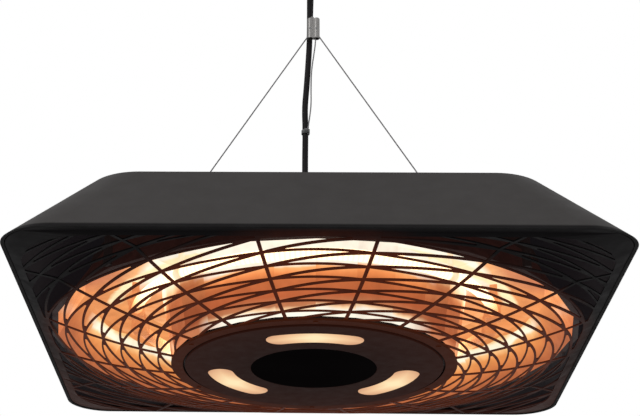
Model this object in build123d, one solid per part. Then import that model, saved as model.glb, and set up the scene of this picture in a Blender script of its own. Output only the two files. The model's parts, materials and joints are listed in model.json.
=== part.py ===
from build123d import *
import math
import os

# Square hanging infrared heater. Millimetres, +Z up. Heights in this file are measured from the
# plane of the shade's lower rim; place() then drops everything so that the ceiling is at z = 0.

# Shade and its hem
rim_side = 600.0
rim_corner = 48.0
top_side = 459.5
top_corner = 56.0
shade_height = 88.0
shade_sheet = 1.0
hem_width = 3.8
hem_height = 3.0

# Hang: ceiling above the rim plane
hang_height = 492.0

# Grille
grille_sheet = 1.5
grille_recess = 0.5
grille_gap = 0.3
grille_corner = 47.0
grille_lip = 2.0
grille_drop = 3.5
dome_depth = 36.5
dome_bulge = 4.0
dome_corner = 222.0
dome_bands = 5
grille_flange_radius = 152.0
grille_hole_radius = 144.0
spoke_count = 16
spoke_width = 3.4
ring_bar = 1.9
diagonal_bar = 2.5
ring_pitch = 20.0
first_ring = 147.5
diagonal_steps = 3
blunt_angle = 4.8
border_width = 10.4
border_corner = 75.0
smallest_slot = 16.0

# Hub: trim ring, light disc, diffusers, centre cover, housing
hub_ring_outer = 153.5
hub_ring_inner = 140.0
hub_ring_sheet = 1.8
light_disc_radius = 138.5
light_disc_sheet = 2.0
light_disc_drop = 3.0
slot_radius = 102.0
slot_half_width = 14.0
slot_half_angle = 20.8
slot_count = 3
diffuser_gap = 0.2
diffuser_flange = 4.0
diffuser_flange_sheet = 1.5
centre_radius = 67.6
centre_gap = 0.3
centre_sheet = 2.4
centre_dish = 1.2
housing_radius = 137.0
housing_sheet = 1.2
housing_top = 4.0
housing_flange_radius = 151.0
led_board_outer = 126.0
led_board_inner = 78.0
led_board_sheet = 1.6
led_board_lift = 7.0
led_boss_radius = 4.0
led_boss_circle = 86.0
led_chip_side = 5.0
led_chip_height = 0.9
leds_per_slot = 6
led_spread = 17.0
driver_length = 74.0
driver_width = 46.0
driver_height = 22.0
hub_screw_count = 6

# Reflector and heat shield
reflector_sheet = 1.0
reflector_mouth = 278.5
reflector_flange = 6.5
reflector_crown_outer = 252.0
reflector_crown_inner = 166.0
reflector_crown = 46.0
reflector_crown_rise = 6.0
reflector_throat = 152.0
shield_radius = 246.0
shield_sheet = 0.6
shield_gap = 9.0
shield_spacer_radius = 5.0
shield_spacer_circle = (reflector_crown_outer + reflector_crown_inner) / 2

# Lamps: two half rings
lamp_ring = 193.0
lamp_tube = 6.0
lamp_wall = 1.0
lamp_height = 17.0
lamp_end_angle = 7.5
filament_radius = 1.6
cap_length = 16.0
cap_width = 17.0
cap_height = 16.0
cap_grip = 8.0
cap_gap = 0.1
clip_width = 8.0
clip_sheet = 1.2
clip_gap = 0.1
carrier_sheet = 2.0
carrier_width = 16.0

# Posts between the top of the shade and the reflector's flange
post_radius = 4.4
post_ear = 7.0
post_circle = 287.5
post_screw_head = 4.2
post_screw_head_height = 2.4
post_screw_shank = 2.0
post_screw_length = 12.0

# Wiring inside the shade
terminal_length = 44.0
terminal_width = 20.0
terminal_height = 16.0
terminal_x = 70.0
terminal_y = -48.0
cutout_radius = 8.0
cutout_height = 9.0
cutout_x = -84.0
cutout_y = 70.0
lead_radius = 1.7
bushing_outer = 4.2

# Cord, its gland and its tie
cord_radius = 3.5
cord_x = -9.4
cord_y = 7.6
gland_thread = 8.0
gland_hex = 11.0
gland_hex_height = 6.0
gland_nut_top_radius = 7.6
gland_nut_radius = 10.0
gland_nut_height = 15.0
gland_shank = 8.0
gland_play = 1.35
gland_seal_play = 0.1
locknut_height = 5.0
cord_end_depth = 10.0
cord_tail_depth = 14.0
tie_height = 4.5
tie_sheet = 1.1
tie_level = 248.0
tie_gap = 0.1

# Ropes, eyes and gripper
rope_radius = 0.8
rope_bore_gap = 0.05
eye_span = 346.0
eye_height = 12.0
eye_ring = 5.0
eye_wire = 1.5
eye_play = 0.3
eye_stud = 3.0
eye_flange_radius = 9.0
eye_flange_height = 2.5
eye_nut_radius = 5.8
eye_nut_height = 5.0
loop_ring = 3.6
sleeve_radius = 2.1
sleeve_length = 14.0
gripper_barrel = 3.7
gripper_barrel_offset = 3.6
gripper_bottom = 367.5
gripper_height = 27.0
gripper_web_depth = 2.7
gripper_mouth_radius = 2.7
gripper_mouth_depth = 4.0
rope_grip_height = 375.0
tail_radius = 0.8
tail_mouth_x = 2.5
tail_tie_x = -6.25
tail_tie_y = 3.9
main_rope_radius = 1.0
main_rope_lean = 1.8
collar_radius = 2.0
collar_play = 0.1
collar_height = 7.0
collar_proud = 1.6
set_screw_radius = 1.4
set_screw_length = 2.2

# Ceiling end
bracket_length = 102.0
bracket_width = 22.0
bracket_sheet = 2.0
bracket_tab = 15.0
slot_spacing = 72.0
fixing_slot_length = 14.0
fixing_slot_radius = 2.6
canopy_radius = 55.0
canopy_sheet = 1.5
canopy_height = 31.0
canopy_opening = 20.0
canopy_screw_radius = 1.75
canopy_screw_drop = 9.0
canopy_screw_head = 3.4
canopy_screw_gap = 0.3
clevis_width = 8.0
clevis_lug = 2.0
clevis_base = 3.0
clevis_base_side = 14.0
upper_pin_drop = 20.0
lower_pin_drop = 33.0
pin_radius = 1.5
pin_play = 0.06
link_thickness = 4.8
link_play = 0.2
link_end = 3.6
ferrule_radius = 3.0
ferrule_length = 16.0
ceiling_block_length = 26.0
ceiling_block_width = 14.0
ceiling_block_height = 12.0
ceiling_block_x = 26.0
anchor_width = 14.0
anchor_back = 6.4
anchor_front = 8.0
anchor_mouth = 27.0
anchor_pocket = 8.0
anchor_play = 2.0

os.makedirs("parts", exist_ok=True)


def place(shape):
    """Heights above the rim become heights below the ceiling."""
    return Pos(0, 0, -hang_height) * shape


def save(name, shape):
    """Writes one node. A list of solids becomes one group."""
    solids = shape if isinstance(shape, list) else [shape]
    flat = [solid for item in solids for solid in item.solids()]
    whole = Compound(children=flat) if len(flat) > 1 else flat[0]
    export_step(place(whole), f"parts/{name}.step")


def disc(radius, low, high):
    return Pos(0, 0, low) * Cylinder(radius, high - low, align=(Align.CENTER, Align.CENTER, Align.MIN))


def tube(outer, inner, low, high):
    return disc(outer, low, high) - disc(inner, low - 1, high + 1)


def block(x0, x1, y0, y1, z0, z1):
    centre = Pos((x0 + x1) / 2, (y0 + y1) / 2, (z0 + z1) / 2)
    return centre * Box(x1 - x0, y1 - y0, z1 - z0)


def rod(start, end, radius):
    """A round bar from one point to another."""
    span = Vector(*end) - Vector(*start)
    plane = Plane(origin=start, z_dir=span)
    return extrude(plane * Circle(radius), span.length)


def polar(radius, degrees):
    return (radius * math.cos(math.radians(degrees)), radius * math.sin(math.radians(degrees)))


def turned(shape, degrees):
    return Rot(0, 0, degrees) * shape


def rounded_frustum(low, low_side, low_corner, high, high_side, high_corner):
    lower = Pos(0, 0, low) * RectangleRounded(low_side, low_side, low_corner)
    upper = Pos(0, 0, high) * RectangleRounded(high_side, high_side, high_corner)
    return loft([lower, upper])


def hose(points, radius, name):
    """A tube of straight runs joined by tangent arcs as large as the runs allow."""
    places = [Vector(*p) for p in points]
    radii = []
    for before, corner, after in zip(places, places[1:], places[2:]):
        inward = corner - before
        outward = after - corner
        half_turn = math.radians(inward.get_angle(outward)) / 2
        radii.append(0.45 * min(inward.length, outward.length) / math.tan(half_turn))
    path = FilletPolyline(*points, radius=radii) if radii else Line(*points)
    start = Plane(origin=path @ 0, z_dir=path % 0)
    solid = sweep(start * Circle(radius), path=path)
    share = solid.volume / (math.pi * radius**2 * path.length)
    print(name, "length", round(path.length, 1), "volume share", round(share, 4))
    print("   radii", [round(r) for r in radii])
    return solid


# Shade

wall_run = (rim_side - top_side) / 2 / shade_height
wall_inset = shade_sheet * math.hypot(1, wall_run)


def wall_half(height):
    """Half the shade's inner width at a height."""
    return rim_side / 2 - wall_run * height - wall_inset


def shade():
    outer = rounded_frustum(0, rim_side, rim_corner, shade_height, top_side, top_corner)
    ceiling = shade_height - shade_sheet
    inner = rounded_frustum(
        0,
        2 * wall_half(0),
        rim_corner - wall_inset,
        ceiling,
        2 * wall_half(ceiling),
        top_corner - wall_inset,
    )
    hem_inner = rim_side - 2 * hem_width
    hem = rounded_frustum(0, rim_side, rim_corner, hem_height, 2 * (wall_half(hem_height) + wall_inset),
                          rim_corner + (top_corner - rim_corner) * hem_height / shade_height)
    hem -= extrude(RectangleRounded(hem_inner, hem_inner, rim_corner - hem_width), hem_height)
    body = outer - inner + hem
    body -= Pos(cord_x, cord_y) * disc(gland_thread + 0.3, ceiling - 1, shade_height + 1)
    for side in (-1, 1):
        body -= Pos(side * eye_span / 2, 0) * disc(eye_stud + 0.2, ceiling - 1, shade_height + 1)
    for quarter in range(4):
        x, y = polar(post_circle, 45 + 90 * quarter)
        body -= Pos(x, y) * disc(post_screw_shank + 0.2, ceiling - 1, shade_height + 1)
    return body


# Grille: a pressed sheet, pierced between spokes, rings and diagonals. From the hub it rises as a dome that
# squares up towards a flat field, and a sloped border leads from the field to the shade's hem.

sector = 360.0 / spoke_count
grille_under = grille_recess
grille_top = grille_under + grille_sheet
dome_bottom = grille_under - dome_depth
panel_side = rim_side - 2 * (hem_width + grille_gap)
field_side = panel_side - 2 * border_width
field_level = grille_under - grille_drop


def spoke_edge(radius, side):
    """Angle between a spoke's centre line and its edge at a radius."""
    return side * math.degrees(math.asin(spoke_width / 2 / radius))


def steps(left, right):
    """Angles along a diagonal, which is cut in straight stretches."""
    return [left + (right - left) * i / diagonal_steps for i in range(diagonal_steps + 1)]


def first_arc(ring, upper):
    """Radius of the arc that bounds an opening: the ring bar above it or the one below it."""
    if upper:
        return first_ring + ring_pitch * (ring + 1) - ring_bar / 2
    return first_ring + ring_pitch * ring + ring_bar / 2


def slot_face(start, ring, upper):
    """One opening of a cell: above or below the diagonal that climbs one ring across the cell."""
    low, high = first_ring + ring_pitch * ring, first_ring + ring_pitch * (ring + 1)

    def diagonal(angle):
        return low + ring_pitch * (angle - start) / sector

    if upper:
        left = start + spoke_edge(low, 1)
        right = start + sector - blunt_angle
        angles = steps(left, right)
        inner = [diagonal(a) + diagonal_bar / 2 for a in angles]
        outer = [first_arc(ring, upper)] * len(angles)
    else:
        left = start + blunt_angle
        right = start + sector - spoke_edge(high, 1)
        angles = steps(left, right)
        inner = [first_arc(ring, upper)] * len(angles)
        outer = [diagonal(a) - diagonal_bar / 2 for a in angles]
    near = [polar(r, a) for r, a in zip(inner, angles)]
    far = [polar(r, a) for r, a in zip(outer, angles)]
    slope = far if not upper else near
    arc = near if not upper else far
    edges = [
        ThreePointArc(arc[0], polar(first_arc(ring, upper), (left + right) / 2), arc[-1]),
        Polyline(*slope),
        Line(near[0], far[0]),
        Line(near[-1], far[-1]),
    ]
    return make_face(edges)


def grille_slots():
    """All openings, seen in plan. The outer ones are trimmed by the plain border."""
    clear = RectangleRounded(field_side, field_side, border_corner)
    reach = field_side / 2 * math.sqrt(2)
    faces = []
    for ring in range(int((reach - first_ring) / ring_pitch) + 1):
        outer = first_ring + ring_pitch * (ring + 1)
        for index in range(spoke_count):
            start = -90 - sector / 2 + sector * index
            for upper in (True, False):
                face = slot_face(start, ring, upper)
                if outer < field_side / 2:
                    faces.append(face)
                    continue
                trimmed = face & clear
                for piece in trimmed.faces() if trimmed else []:
                    if piece.area > smallest_slot:
                        faces.append(Sketch() + piece)
    print("grille openings", len(faces))
    return faces


def dome_level(share):
    """Height, side and corner radius of the dome's lower face, from the hub (0) to the field's edge (1)."""
    height = dome_bottom + (field_level - dome_bottom) * share - 4 * dome_bulge * share * (1 - share)
    half = grille_flange_radius + (field_side / 2 - grille_flange_radius) * share
    corner = grille_flange_radius + (dome_corner - grille_flange_radius) * share
    return height, 2 * half, min(corner, half - 0.5)


def pressed_form():
    """All that lies above the sheet's lower face."""
    lip_side = panel_side - 2 * grille_lip
    form = rounded_frustum(field_level, field_side, border_corner, grille_under, lip_side, grille_corner)
    levels = [dome_level(i / dome_bands) for i in range(dome_bands + 1)]
    for low, high in zip(levels, levels[1:]):
        form += rounded_frustum(*low, *high)
    return form


def grille():
    form = pressed_form()
    lip = extrude(RectangleRounded(panel_side, panel_side, grille_corner), grille_sheet)
    sheet = form + Pos(0, 0, grille_under) * lip - Pos(0, 0, grille_sheet) * form
    sheet -= disc(grille_hole_radius, dome_bottom - 1, grille_top)
    cutters = [extrude(Pos(0, 0, dome_bottom - 2) * face, dome_depth + 6) for face in grille_slots()]
    sheet = sheet - cutters
    for x, y in hub_screw_places():
        sheet -= Pos(x, y) * disc(hub_screw_hole, dome_bottom - 1, dome_bottom + 3)
    return sheet


# Hub

hub_screw_circle = (hub_ring_inner + grille_flange_radius) / 2 + 1.5
hub_screw_shank = 1.5
hub_screw_hole = hub_screw_shank + 0.15
hub_screw_head = 2.6
hub_ring_low = dome_bottom - hub_ring_sheet
light_disc_low = dome_bottom - light_disc_drop
light_disc_top = light_disc_low + light_disc_sheet
housing_flange_low = dome_bottom + grille_sheet
led_board_low = light_disc_top + led_board_lift


def hub_screw_places():
    return [polar(hub_screw_circle, 30 + 360 / hub_screw_count * i) for i in range(hub_screw_count)]


def curved_slot(middle, half_width, extra=0.0):
    """A banana-shaped face on the slot circle."""
    half = slot_half_angle
    outer, inner = slot_radius + half_width, slot_radius - half_width
    start, end = middle - half, middle + half
    tip = polar(slot_radius, end)
    tail = polar(slot_radius, start)
    ends = [Pos(*tip) * Circle(half_width), Pos(*tail) * Circle(half_width)]
    band = make_face(
        [
            ThreePointArc(polar(outer, start), polar(outer, middle), polar(outer, end)),
            Line(polar(outer, end), polar(inner, end)),
            ThreePointArc(polar(inner, end), polar(inner, middle), polar(inner, start)),
            Line(polar(inner, start), polar(outer, start)),
        ]
    )
    return band + ends[0] + ends[1]


def slot_middles():
    return [-90 + 360 / slot_count * i for i in range(slot_count)]


def hub_ring():
    ring = tube(hub_ring_outer, hub_ring_inner, hub_ring_low, dome_bottom)
    ring = chamfer(ring.edges().group_by(Axis.Z)[0].sort_by(SortBy.LENGTH)[-1:], 0.8)
    for x, y in hub_screw_places():
        ring -= Pos(x, y) * disc(hub_screw_hole, hub_ring_low - 1, dome_bottom + 1)
    return ring


def light_disc():
    plate = tube(light_disc_radius, centre_radius + centre_gap, light_disc_low, light_disc_top)
    plate = chamfer(plate.edges().group_by(Axis.Z)[0].sort_by(SortBy.LENGTH)[-1:], 0.7)
    for middle in slot_middles():
        plate -= extrude(Pos(0, 0, light_disc_low - 1) * curved_slot(middle, slot_half_width), light_disc_sheet + 2)
    return plate


def diffuser(middle):
    lens = extrude(
        Pos(0, 0, light_disc_low) * curved_slot(middle, slot_half_width - diffuser_gap), light_disc_sheet
    )
    flange = extrude(
        Pos(0, 0, light_disc_top) * curved_slot(middle, slot_half_width + diffuser_flange), diffuser_flange_sheet
    )
    return lens + flange


def centre_cover():
    """A plain cap, slightly dished, with a wider back that rests behind the light disc."""
    cap = disc(centre_radius, light_disc_low, light_disc_low + centre_sheet)
    bowl_radius = (centre_radius**2 * 0.81 + centre_dish**2) / (2 * centre_dish)
    bowl = Pos(0, 0, light_disc_low - bowl_radius + centre_dish) * Sphere(bowl_radius)
    cap -= bowl
    back = disc(centre_radius + 6, light_disc_top, light_disc_top + 1.6)
    return cap + back


def hub_housing():
    """A cup that holds the light disc's parts, with a flange on the grille's inner edge."""
    low, high = light_disc_top, housing_top
    wall = tube(housing_radius, housing_radius - housing_sheet, low, high)
    roof = tube(housing_radius, 9.0, high - housing_sheet, high)
    flange = tube(housing_flange_radius, housing_radius - 0.1, housing_flange_low, housing_flange_low + housing_sheet)
    cup = wall + roof + flange
    for middle in slot_middles():
        x, y = polar(led_boss_circle, middle + 60)
        cup += Pos(x, y) * disc(led_boss_radius, led_board_low + led_board_sheet, high)
    for x, y in hub_screw_places():
        cup -= Pos(x, y) * disc(hub_screw_hole, housing_flange_low - 1, housing_flange_low + 3)
    return cup


def led_board():
    return tube(led_board_outer, led_board_inner, led_board_low, led_board_low + led_board_sheet)


def led_chips():
    chips = []
    for middle in slot_middles():
        for i in range(leds_per_slot):
            angle = middle - led_spread + 2 * led_spread * i / (leds_per_slot - 1)
            half = led_chip_side / 2
            chip = block(slot_radius - half, slot_radius + half, -half, half, led_board_low - led_chip_height,
                         led_board_low)
            chips.append(turned(chip, angle))
    return chips


def led_driver():
    low = housing_top - housing_sheet - driver_height
    box = block(-driver_length / 2, driver_length / 2, -driver_width / 2, driver_width / 2, low, low + driver_height)
    return fillet(box.edges().filter_by(Axis.Z), 3)


def hub_screws():
    screws = []
    for x, y in hub_screw_places():
        shank = disc(hub_screw_shank, hub_ring_low, housing_flange_low + housing_sheet + 2)
        head = disc(hub_screw_head, hub_ring_low - 0.9, hub_ring_low)
        screws.append(Pos(x, y) * (shank + head))
    return screws


# Reflector: a trough round the hub

reflector_low = field_level + grille_sheet
throat_low = housing_flange_low + housing_sheet


def reflector_profile():
    s = reflector_sheet
    crown = reflector_crown + reflector_crown_rise
    centre = [
        (reflector_mouth + reflector_flange, reflector_low),
        (reflector_mouth, reflector_low),
        (reflector_crown_outer, reflector_crown),
        ((reflector_crown_outer + reflector_crown_inner) / 2, crown),
        (reflector_crown_inner, reflector_crown),
        (reflector_throat, throat_low),
        (reflector_throat - 8, throat_low),
    ]
    upper = [
        (reflector_mouth + reflector_flange, reflector_low + s),
        (reflector_mouth + s * 0.4, reflector_low + s),
        (reflector_crown_outer + s * 0.7, reflector_crown + s * 0.9),
        ((reflector_crown_outer + reflector_crown_inner) / 2, crown + s),
        (reflector_crown_inner - s * 0.7, reflector_crown + s * 0.9),
        (reflector_throat - s, throat_low + s),
        (reflector_throat - 8, throat_low + s),
    ]
    outline = Polyline(*centre, *upper[::-1], close=True)
    return Plane.XZ * make_face(outline)


def crown_height(radius):
    """Underside of the reflector's roof at a radius."""
    middle = (reflector_crown_outer + reflector_crown_inner) / 2
    half = (reflector_crown_outer - reflector_crown_inner) / 2
    return reflector_crown + reflector_crown_rise * (1 - abs(radius - middle) / half)


def hub_screw_clearance(body, low, high):
    for x, y in hub_screw_places():
        body -= Pos(x, y) * disc(hub_screw_hole, low, high)
    return body


def reflector():
    """The trough, with an ear for each post."""
    body = revolve(reflector_profile(), Axis.Z)
    for quarter in range(4):
        x, y = polar(post_circle, 45 + 90 * quarter)
        body += Pos(x, y) * disc(post_ear, reflector_low, reflector_low + reflector_sheet)
    body = hub_screw_clearance(body, throat_low - 1, throat_low + 2)
    for side in (-1, 1):
        body -= Pos(side * lamp_ring, 0) * disc(bushing_outer + 0.1, reflector_crown - 2, shield_low)
    return body


shield_low = reflector_crown + reflector_crown_rise + reflector_sheet + shield_gap
shield_top = shield_low + shield_sheet


def heat_shield():
    plate = disc(shield_radius, shield_low, shield_top)
    for side in (-1, 1):
        plate -= Pos(side * lamp_ring, 0) * disc(bushing_outer + 0.1, shield_low - 1, shield_top + 1)
    return plate


def shield_spacers():
    """Feet between the reflector's ridge and the shield."""
    ridge = crown_height(shield_spacer_circle) + reflector_sheet
    spacers = []
    for quarter in range(4):
        x, y = polar(shield_spacer_circle, 45 + 90 * quarter)
        spacers.append(Pos(x, y) * disc(shield_spacer_radius, ridge + 0.02, shield_low))
    return spacers


def posts():
    low, high = reflector_low + reflector_sheet, shade_height - shade_sheet
    group = []
    for quarter in range(4):
        x, y = polar(post_circle, 45 + 90 * quarter)
        bore = disc(post_screw_shank + 0.05, high - post_screw_length, high + 1)
        group.append(Pos(x, y) * (disc(post_radius, low, high) - bore))
    return group


def post_screws():
    group = []
    for quarter in range(4):
        x, y = polar(post_circle, 45 + 90 * quarter)
        top = shade_height
        head = disc(post_screw_head, top, top + post_screw_head_height)
        head = fillet(head.edges().group_by(Axis.Z)[-1], post_screw_head_height * 0.6)
        head -= Pos(0, 0, top + post_screw_head_height) * extrude(RegularPolygon(1.6, 6), -1.4)
        shank = disc(post_screw_shank, top - shade_sheet - post_screw_length + 1, top)
        group.append(Pos(x, y) * (head + shank))
    return group


# Lamps

def lamp_arc(radius, start, end):
    circle = Plane.XZ * Pos(lamp_ring, lamp_height) * Circle(radius)
    return turned(revolve(circle, Axis.Z, revolution_arc=end - start), start)


def lamp(start, end):
    return lamp_arc(lamp_tube, start, end) - lamp_arc(lamp_tube - lamp_wall, start - 1, end + 1)


def filament(start, end):
    """The heating coil. It reaches from one end block's socket to the other's."""
    return lamp_arc(filament_radius, start, end)


def cap_at(angle, outward):
    """A ceramic end block that holds the last few millimetres of a tube."""
    grip = math.degrees(cap_grip / lamp_ring)
    length = math.degrees(cap_length / lamp_ring)
    inner_edge = angle + outward * grip
    middle = inner_edge - outward * length / 2
    half = cap_length / 2
    body = block(lamp_ring - cap_width / 2, lamp_ring + cap_width / 2, -half, half, lamp_height - cap_height / 2,
                 lamp_height + cap_height / 2)
    body = fillet(body.edges().filter_by(Axis.Y), 2.5)
    body = turned(body, middle)
    socket = lamp_arc(lamp_tube + cap_gap, min(angle, angle + outward * 8), max(angle, angle + outward * 8))
    return body - socket


def lamp_caps(start, end):
    return [cap_at(start, 1), cap_at(end, -1)]


def clip_at(angle):
    """A spring strap: a band round the tube and a stem up to the reflector."""
    roof = crown_height(lamp_ring - clip_sheet / 2) - 0.02
    inner = lamp_tube + clip_gap
    outer = inner + clip_sheet
    half = clip_width / 2
    band = Pos(lamp_ring, 0, lamp_height) * Rot(90, 0, 0) * Cylinder(outer, clip_width)
    stem = block(lamp_ring - clip_sheet / 2, lamp_ring + clip_sheet / 2, -half, half, lamp_height + inner, roof)
    foot = block(lamp_ring - clip_sheet / 2, lamp_ring + 7, -half, half, roof - 3.2, roof - 1.6)
    band = band + stem + foot
    sweep_bore = lamp_arc(inner, -6, 6)
    return turned(band - sweep_bore, angle)


def lamp_clips():
    return [clip_at(a) for a in (-135, -45, 45, 135)]


def cap_carrier(side):
    """A folded strip that hangs from the reflector and carries two end blocks."""
    low = lamp_height + cap_height / 2
    roof = crown_height(lamp_ring) - 0.02
    reach = lamp_ring * math.sin(math.radians(lamp_end_angle)) + cap_grip
    x0, x1 = lamp_ring - carrier_width / 2, lamp_ring + carrier_width / 2
    bar = block(x0, x1, -reach, reach, low, low + carrier_sheet)
    bar -= Pos(lamp_ring, 0) * disc(bushing_outer + 0.1, low - 1, low + carrier_sheet + 1)
    for end in (-1, 1):
        y = end * (reach - 6)
        bar += block(lamp_ring - 4, lamp_ring + 4, y - 1, y + 1, low, roof - 0.6)
    return bar if side > 0 else turned(bar, 180)


# Wiring inside the shade

terminal_low = shield_top


def terminal_block():
    low = terminal_low
    body = block(terminal_x - terminal_length / 2, terminal_x + terminal_length / 2, terminal_y - terminal_width / 2,
                 terminal_y + terminal_width / 2, low, low + terminal_height)
    body = fillet(body.edges().filter_by(Axis.Z), 2)
    for i in range(3):
        x = terminal_x + (i - 1) * terminal_length / 3
        body -= Pos(x, terminal_y) * disc(3.2, low + terminal_height - 5, low + terminal_height + 1)
    return body


def thermal_cutout():
    body = disc(cutout_radius, shield_top, shield_top + cutout_height)
    ears = block(-12, 12, -3, 3, shield_top, shield_top + 1)
    return Pos(cutout_x, cutout_y) * (body + ears)


def lead_bushings():
    """Ceramic tubes that take the lamps' leads through the shield and the reflector."""
    low = lamp_height + cap_height / 2 - 1
    group = []
    for side in (-1, 1):
        sleeve = tube(bushing_outer, lead_radius + 0.2, low, shield_top + 5)
        group.append(Pos(side * lamp_ring, 0) * sleeve)
    return group


def lamp_lead(side):
    level = shield_top + lead_radius + 6.5
    top = shield_top + 5
    start_x = terminal_x + side * terminal_length / 2
    if side > 0:
        points = [
            (start_x, terminal_y, terminal_low + 6),
            (start_x + 14, terminal_y, terminal_low + 6),
            (start_x + 42, terminal_y + 14, level),
            (lamp_ring - 24, -15, level + 0.5),
            (lamp_ring - 9, -5, level + 0.6),
            (lamp_ring, 0, top + 5),
            (lamp_ring, 0, top - 4),
        ]
    else:
        points = [
            (start_x, terminal_y, terminal_low + 6),
            (start_x - 16, terminal_y, terminal_low + 6),
            (start_x - 58, terminal_y - 8, level),
            (start_x - 110, terminal_y + 2, level + 0.5),
            (start_x - 168, terminal_y + 20, level),
            (-lamp_ring + 26, -15, level + 0.4),
            (-lamp_ring + 9, -5, level + 0.6),
            (-lamp_ring, 0, top + 5),
            (-lamp_ring, 0, top - 4),
        ]
    return hose(points, lead_radius, "lamp lead")


# Cord, gland and tie

gland_hex_top = shade_height + gland_hex_height
gland_top = gland_hex_top + gland_nut_height
cord_bottom = gland_top - cord_end_depth
cord_tail_top = gland_top - cord_tail_depth


def cord_gland():
    """Body of the gland: hexagon on the shade, threaded shank through it."""
    hexagon = Pos(0, 0, shade_height) * extrude(RegularPolygon(gland_hex, 6), gland_hex_height)
    shank = disc(gland_thread, shade_height - shade_sheet - gland_shank, gland_hex_top + 5)
    body = hexagon + shank
    body -= disc(cord_radius + gland_seal_play, shade_height - 30, cord_tail_top)
    body -= disc(cord_radius + gland_play, cord_tail_top, gland_top)
    return Pos(cord_x, cord_y) * body


def gland_nut():
    low = gland_hex_top
    lower = disc(gland_nut_radius, low, low + 5)
    dome = Pos(0, 0, low + 5) * Cone(gland_nut_radius, gland_nut_top_radius, gland_nut_height - 5,
                                     align=(Align.CENTER, Align.CENTER, Align.MIN))
    nut = lower + dome
    nut -= disc(gland_thread + 0.1, low - 1, low + 5.2)
    nut -= disc(cord_radius + gland_play, low, gland_top + 1)
    for i in range(12):
        nut -= turned(Pos(gland_nut_radius + 0.6, 0) * disc(1.2, low - 1, low + 6), 30 * i)
    return Pos(cord_x, cord_y) * nut


def gland_locknut():
    top = shade_height - shade_sheet
    nut = Pos(0, 0, top - locknut_height) * extrude(RegularPolygon(gland_hex, 6), locknut_height)
    nut -= disc(gland_thread + 0.1, top - locknut_height - 1, top + 1)
    return Pos(cord_x, cord_y) * nut


def cord_tail():
    """The end of the cord inside the shade, from the gland to the terminal block."""
    block_side = terminal_y + terminal_width / 2
    level = shield_top + 6
    points = [
        (cord_x, cord_y, cord_tail_top),
        (cord_x, cord_y, level + 7),
        (cord_x + 2.5, cord_y - 4, level + 1.5),
        (cord_x + 12, cord_y - 13, level - 1),
        (cord_x + 34, cord_y - 22, level - 0.5),
        (terminal_x - 12, block_side + 17, level),
        (terminal_x - 8, block_side + 9, level),
        (terminal_x - 8, block_side, level),
    ]
    return hose(points, cord_radius * 0.8, "cord tail")


def power_cord_points():
    """The cord's route: up from the gland, past the tie and behind the gripper, into the canopy."""
    return [
        (cord_x, cord_y, cord_bottom),
        (cord_x + 0.3, cord_y, 148),
        (cord_x - 0.3, cord_y, 207),
        (cord_x + 0.3, cord_y, 251),
        (cord_x - 0.7, cord_y, 279),
        (cord_x + 1.4, cord_y, 305),
        (cord_x + 3.4, cord_y, 337),
        (cord_x + 5.1, cord_y, 370),
        (cord_x + 5.2, cord_y, 418),
        (cord_x + 5.2, cord_y + 1.5, 440),
        (cord_x + 5.3, cord_y + 5.5, 456),
        (cord_x + 5.4, cord_y + 6.5, 469),
    ]


def tail_points():
    """The rope's spare end: out of the gripper's right mouth, down beside the cord to the tie."""
    return [
        (tail_mouth_x, 0, gripper_bottom + gripper_mouth_depth),
        (tail_mouth_x, 0, gripper_bottom - 6),
        (0.4, 0.6, 346),
        (-2.4, 1.6, 325),
        (-2.9, 2.2, 302),
        (-2.6, 2.8, 281),
        (-4.6, 3.4, 264),
        (tail_tie_x, tail_tie_y, tie_level + 5),
        (tail_tie_x, tail_tie_y, tie_level - 4),
    ]


def cord_tie():
    """A band round the cord and the rope's spare end, with its small head in front."""
    cord_place = (cord_x + 0.25, cord_y)
    tail_place = (tail_tie_x, tail_tie_y)
    outline = []
    for grow in (tie_gap, tie_gap + tie_sheet):
        circles = [
            Pos(*cord_place) * Circle(cord_radius + grow),
            Pos(*tail_place) * Circle(tail_radius + grow),
        ]
        outline.append(make_hull([e for c in circles for e in c.edges()]))
    low = tie_level - tie_height / 2
    band = extrude(Pos(0, 0, low) * (outline[1] - outline[0]), tie_height)
    head = block(-10.6, -7.0, 1.6, 3.9, low - 0.6, low + tie_height + 0.6)
    head -= extrude(Pos(0, 0, low - 2) * outline[0], tie_height + 4)
    return band + head


# Rope anchors on the shade, rope ends and ropes

eye_level = shade_height + eye_height


def eye_x(side):
    return side * eye_span / 2


def rope_eyes():
    """Eye studs. Each ring stands across the shade, so the rope's loop can roll round it."""
    group = []
    for side in (-1, 1):
        ring = Rot(0, 90, 0) * Torus(eye_ring, eye_wire)
        ring = Pos(0, 0, eye_level) * ring
        flange = disc(eye_flange_radius, shade_height, shade_height + eye_flange_height)
        flange = chamfer(flange.edges().group_by(Axis.Z)[-1], 0.8)
        neck = disc(2.2, shade_height, eye_level - eye_ring)
        stud = disc(eye_stud, shade_height - shade_sheet - eye_nut_height - 2, shade_height)
        group.append(Pos(eye_x(side), 0) * (ring + flange + neck + stud))
    return group


def eye_nuts():
    top = shade_height - shade_sheet
    group = []
    for side in (-1, 1):
        nut = Pos(0, 0, top - eye_nut_height) * extrude(RegularPolygon(eye_nut_radius, 6), eye_nut_height)
        nut -= disc(eye_stud + 0.02, top - 10, top + 1)
        group.append(Pos(eye_x(side), 0) * nut)
    return group


def rope_line(side):
    """Where a rope starts, at the eye's upper wire, and ends, in its barrel."""
    low = Vector(eye_x(side), 0, eye_level + eye_ring)
    high = Vector(side * gripper_barrel_offset, 0, rope_grip_height)
    return low, high


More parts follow.
